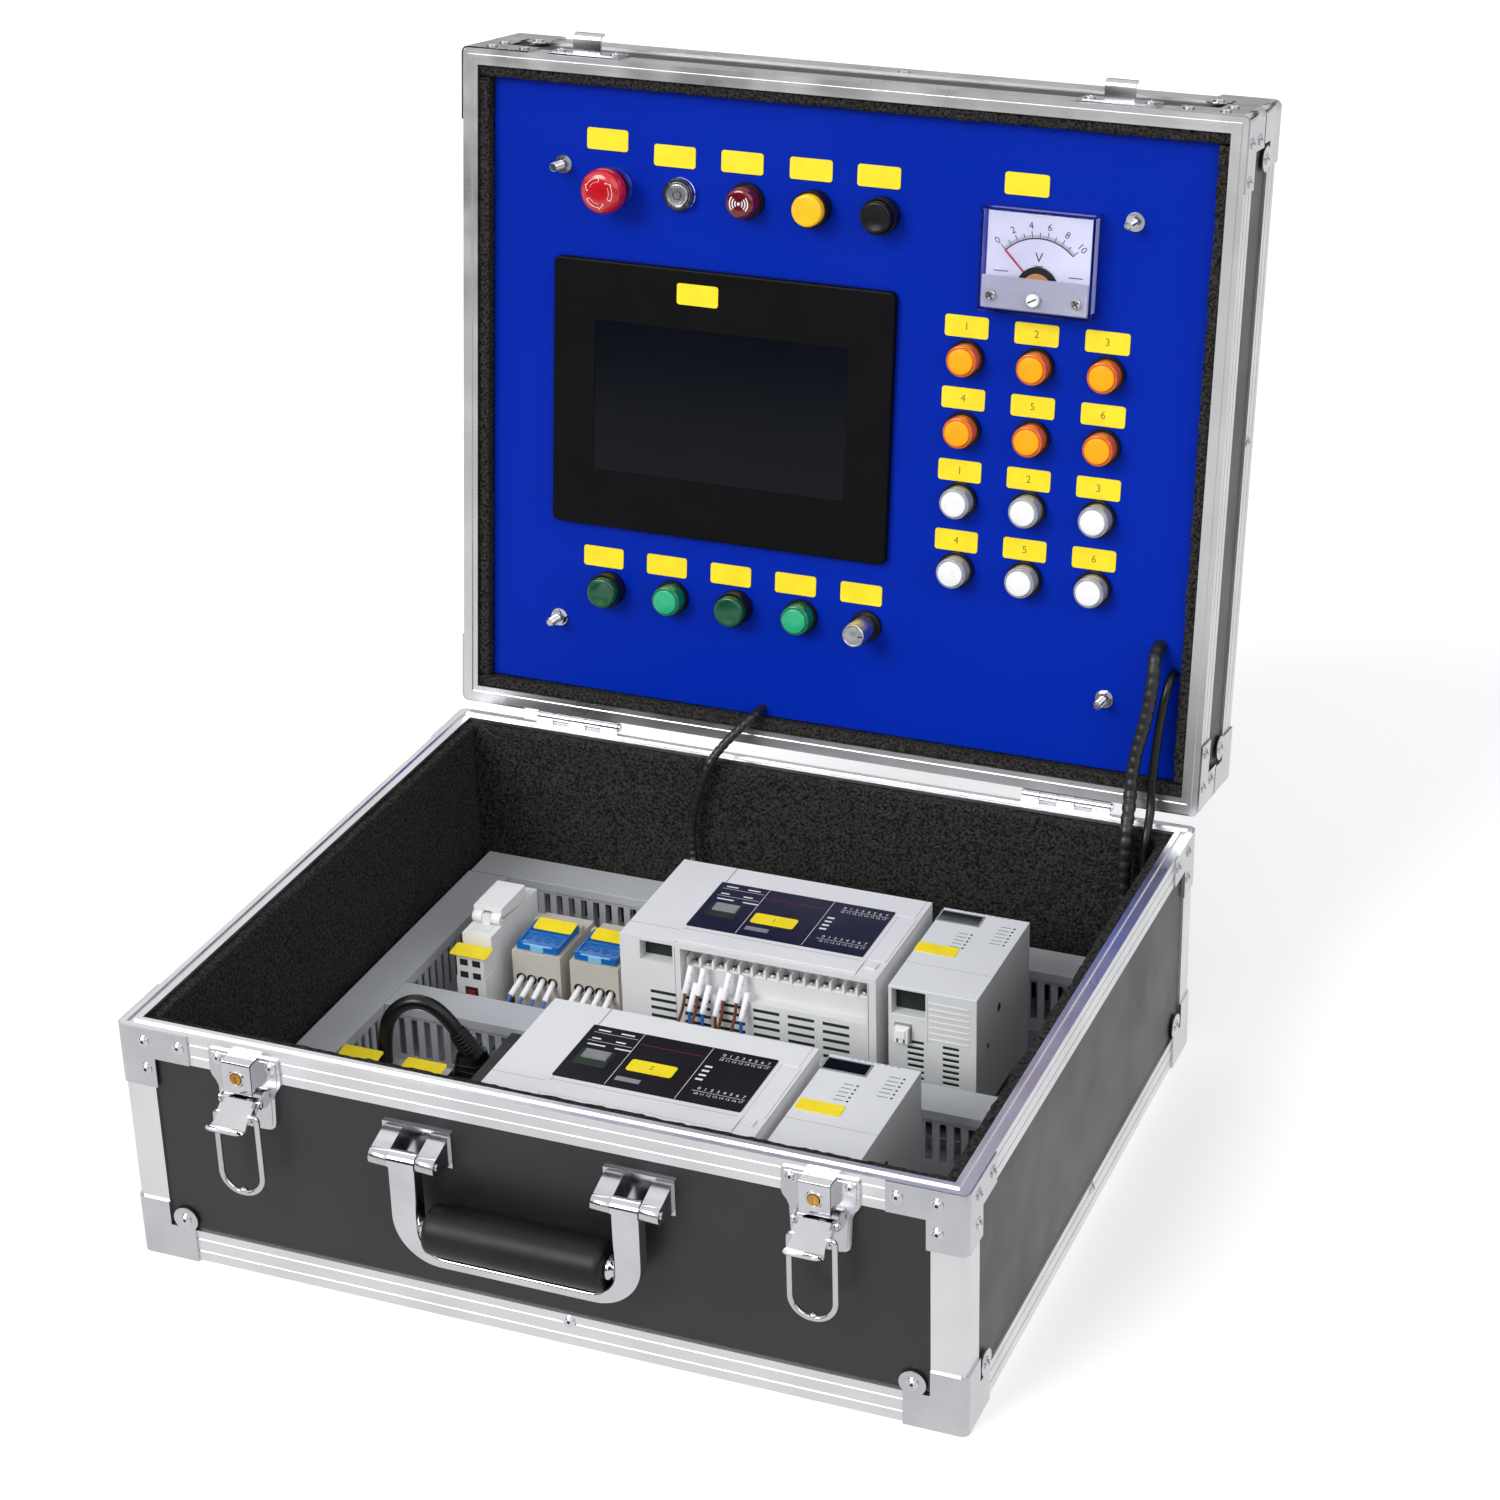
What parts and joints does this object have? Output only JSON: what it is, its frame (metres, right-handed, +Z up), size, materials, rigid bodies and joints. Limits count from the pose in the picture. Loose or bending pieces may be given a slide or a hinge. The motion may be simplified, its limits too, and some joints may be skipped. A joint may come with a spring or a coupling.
{
  "type": "controller training case",
  "caption": "Teaching flight case: controllers, wiring ducts and supply in the base, buttons, lamps, meter and touch screen on a blue panel in the hinged lid.",
  "frame": {"origin": "middle of the base's underside, in the plane that its four corner caps stand on", "axes": "+X to the right seen from the front, +Y to the hinges at the back, +Z up"},
  "size_m": [0.4564, 0.5313, 0.5349],
  "materials": {
    "black_laminate": "fine leather-grain laminate",
    "edge_aluminium": "drawn, satin",
    "bright_steel": "nickel plated",
    "rivet_steel": "nickel plated",
    "black_foam": "open-cell foam",
    "plate_steel": "zinc plated",
    "duct_grey": "moulded",
    "white_plastic": "moulded",
    "cream_plastic": "moulded",
    "clear_blue": "tinted, clear",
    "light_grey_plastic": "moulded",
    "black_plastic": "moulded",
    "supply_steel": "perforated sheet",
    "black_rubber": "soft, satin",
    "wire_sleeve": "heat-shrink",
    "brass": "turned",
    "panel_blue": "acrylic",
    "screen_black": "glass, switched off",
    "meter_clear": "clear",
    "dial_white": "printed",
    "needle_red": "painted",
    "amber_lens": "translucent",
    "white_lens": "translucent",
    "signal_lens": "translucent",
    "stop_red": "moulded",
    "power_chrome": "turned",
    "button_yellow": "moulded",
    "button_black": "moulded",
    "button_green": "moulded",
    "knob_silver": "turned"
  },
  "bodies": {
    "base": {"base_panels": "black_laminate", "base_frame": "edge_aluminium", "base_corners": "bright_steel", "base_rivets": "rivet_steel", "base_foam_lining": "black_foam", "mounting_plate": "plate_steel", "wiring_ducts": "duct_grey", "duct_covers": "duct_grey", "fuse_holder_body": "white_plastic", "distribution_blocks": "cream_plastic", "controller_bodies": "light_grey_plastic", "expansion_modules": "light_grey_plastic", "network_switch": "black_plastic", "power_supply": "supply_steel", "power_plug": "black_rubber", "power_lead": "black_rubber", "control_wires": "wire_sleeve", "lid_cables": "black_rubber", "hinge_base_leaves": "bright_steel", "hinge_pins": "bright_steel", "latch_plates": "bright_steel", "handle_brackets": "bright_steel"},
    "lid": {"lid_panels": "black_laminate", "lid_frame": "edge_aluminium", "lid_corners": "bright_steel", "lid_rivets": "rivet_steel", "lid_foam_lining": "black_foam", "latch_keepers": "bright_steel", "hinge_lid_leaves": "bright_steel", "control_panel": "panel_blue", "panel_studs": "bright_steel", "operator_panel": "black_plastic", "operator_screen": "screen_black", "meter_case": "meter_clear", "meter_dial": "dial_white", "device_housings": "black_plastic", "amber_lenses": "amber_lens", "white_lenses": "white_lens", "signal_lenses": "signal_lens"},
    "handle": {"handle_frame": "bright_steel", "handle_grip": "black_plastic"},
    "latch_lever_left": {"latch_lever_left": "bright_steel"},
    "latch_bail_left": {"latch_bail_left": "bright_steel"},
    "lock_barrel_left": {"lock_barrel_left": "brass"},
    "latch_lever_right": {"latch_lever_right": "bright_steel"},
    "latch_bail_right": {"latch_bail_right": "bright_steel"},
    "lock_barrel_right": {"lock_barrel_right": "brass"},
    "fuse_lever": {"fuse_lever": "white_plastic"},
    "block_cover_left": {"block_cover_left": "clear_blue"},
    "block_cover_right": {"block_cover_right": "clear_blue"},
    "controller_1_cover": {"controller_1_cover": "light_grey_plastic"},
    "controller_2_cover": {"controller_2_cover": "light_grey_plastic"},
    "estop_button": {"estop_button": "stop_red"},
    "power_button": {"power_button": "power_chrome"},
    "silence_button": {"silence_button": "button_yellow"},
    "reset_button": {"reset_button": "button_black"},
    "link_button_1": {"link_button_1": "button_green"},
    "link_button_2": {"link_button_2": "button_green"},
    "potentiometer_knob": {"potentiometer_knob": "knob_silver"},
    "meter_needle": {"meter_needle": "needle_red"}
  },
  "joints": [
    {"name": "lid_hinge", "type": "hinge", "parent": "base", "child": "lid", "pos_m": [0, 0.1956, 0.1399], "axis": [1, 0, 0], "range_deg": [0, 97.79], "deforming": ["lid_cables"]},
    {"name": "handle_swing", "type": "hinge", "parent": "base", "child": "handle", "pos_m": [0, -0.206, 0.101], "axis": [-1, 0, 0], "range_deg": [0, 95]},
    {"name": "latch_left", "type": "hinge", "parent": "base", "child": "latch_lever_left", "pos_m": [-0.15375, -0.1985, 0.111], "axis": [-1, 0, 0], "range_deg": [-12, 66]},
    {"name": "bail_left", "type": "hinge", "parent": "latch_lever_left", "child": "latch_bail_left", "pos_m": [-0.15375, -0.20497, 0.1063], "axis": [-1, 0, 0], "range_deg": [-2, 114]},
    {"name": "lock_left", "type": "hinge", "parent": "base", "child": "lock_barrel_left", "pos_m": [-0.15375, -0.2, 0.125], "axis": [0, -1, 0], "range_deg": [0, 90]},
    {"name": "latch_right", "type": "hinge", "parent": "base", "child": "latch_lever_right", "pos_m": [0.15375, -0.1985, 0.111], "axis": [-1, 0, 0], "range_deg": [-12, 66]},
    {"name": "bail_right", "type": "hinge", "parent": "latch_lever_right", "child": "latch_bail_right", "pos_m": [0.15375, -0.20497, 0.1063], "axis": [-1, 0, 0], "range_deg": [-2, 114]},
    {"name": "lock_right", "type": "hinge", "parent": "base", "child": "lock_barrel_right", "pos_m": [0.15375, -0.2, 0.125], "axis": [0, -1, 0], "range_deg": [0, 90]},
    {"name": "fuse_lever_lift", "type": "hinge", "parent": "base", "child": "fuse_lever", "pos_m": [-0.151, 0.066, 0.0755], "axis": [1, 0, 0], "range_deg": [0, 80]},
    {"name": "block_cover_left_lift", "type": "hinge", "parent": "base", "child": "block_cover_left", "pos_m": [-0.118, 0.0895, 0.0642], "axis": [-1, 0, 0], "range_deg": [0, 100]},
    {"name": "block_cover_right_lift", "type": "hinge", "parent": "base", "child": "block_cover_right", "pos_m": [-0.082, 0.0895, 0.0642], "axis": [-1, 0, 0], "range_deg": [0, 100]},
    {"name": "controller_1_cover_lift", "type": "hinge", "parent": "base", "child": "controller_1_cover", "pos_m": [0.0205, 0.1068, 0.0985], "axis": [1, 0, 0], "range_deg": [0, 90]},
    {"name": "controller_2_cover_lift", "type": "hinge", "parent": "base", "child": "controller_2_cover", "pos_m": [0.0175, -0.0582, 0.0985], "axis": [1, 0, 0], "range_deg": [0, 90]},
    {"name": "estop_button_press", "type": "slide", "parent": "lid", "child": "estop_button", "axis": [0, 0.9908, -0.1355], "range_m": [0, 0.004]},
    {"name": "power_button_press", "type": "slide", "parent": "lid", "child": "power_button", "axis": [0, 0.9908, -0.1355], "range_m": [0, 0.0015], "stiffness_N_per_m": 400},
    {"name": "silence_button_press", "type": "slide", "parent": "lid", "child": "silence_button", "axis": [0, 0.9908, -0.1355], "range_m": [0, 0.0035], "stiffness_N_per_m": 300},
    {"name": "reset_button_press", "type": "slide", "parent": "lid", "child": "reset_button", "axis": [0, 0.9908, -0.1355], "range_m": [0, 0.0035], "stiffness_N_per_m": 300},
    {"name": "link_button_1_press", "type": "slide", "parent": "lid", "child": "link_button_1", "axis": [0, 0.9908, -0.1355], "range_m": [0, 0.0035], "stiffness_N_per_m": 300},
    {"name": "link_button_2_press", "type": "slide", "parent": "lid", "child": "link_button_2", "axis": [0, 0.9908, -0.1355], "range_m": [0, 0.0035], "stiffness_N_per_m": 300},
    {"name": "potentiometer_turn", "type": "hinge", "parent": "lid", "child": "potentiometer_knob", "pos_m": [0.025, 0.20491, 0.22199], "axis": [0, -0.9908, 0.1355], "range_deg": [-150, 150]},
    {"name": "needle_turn", "type": "hinge", "parent": "lid", "child": "meter_needle", "pos_m": [0.117, 0.23263, 0.42461], "axis": [0, 0.9908, -0.1355], "range_deg": [0, 90], "stiffness_Nm_per_rad": 0.001}
  ]
}
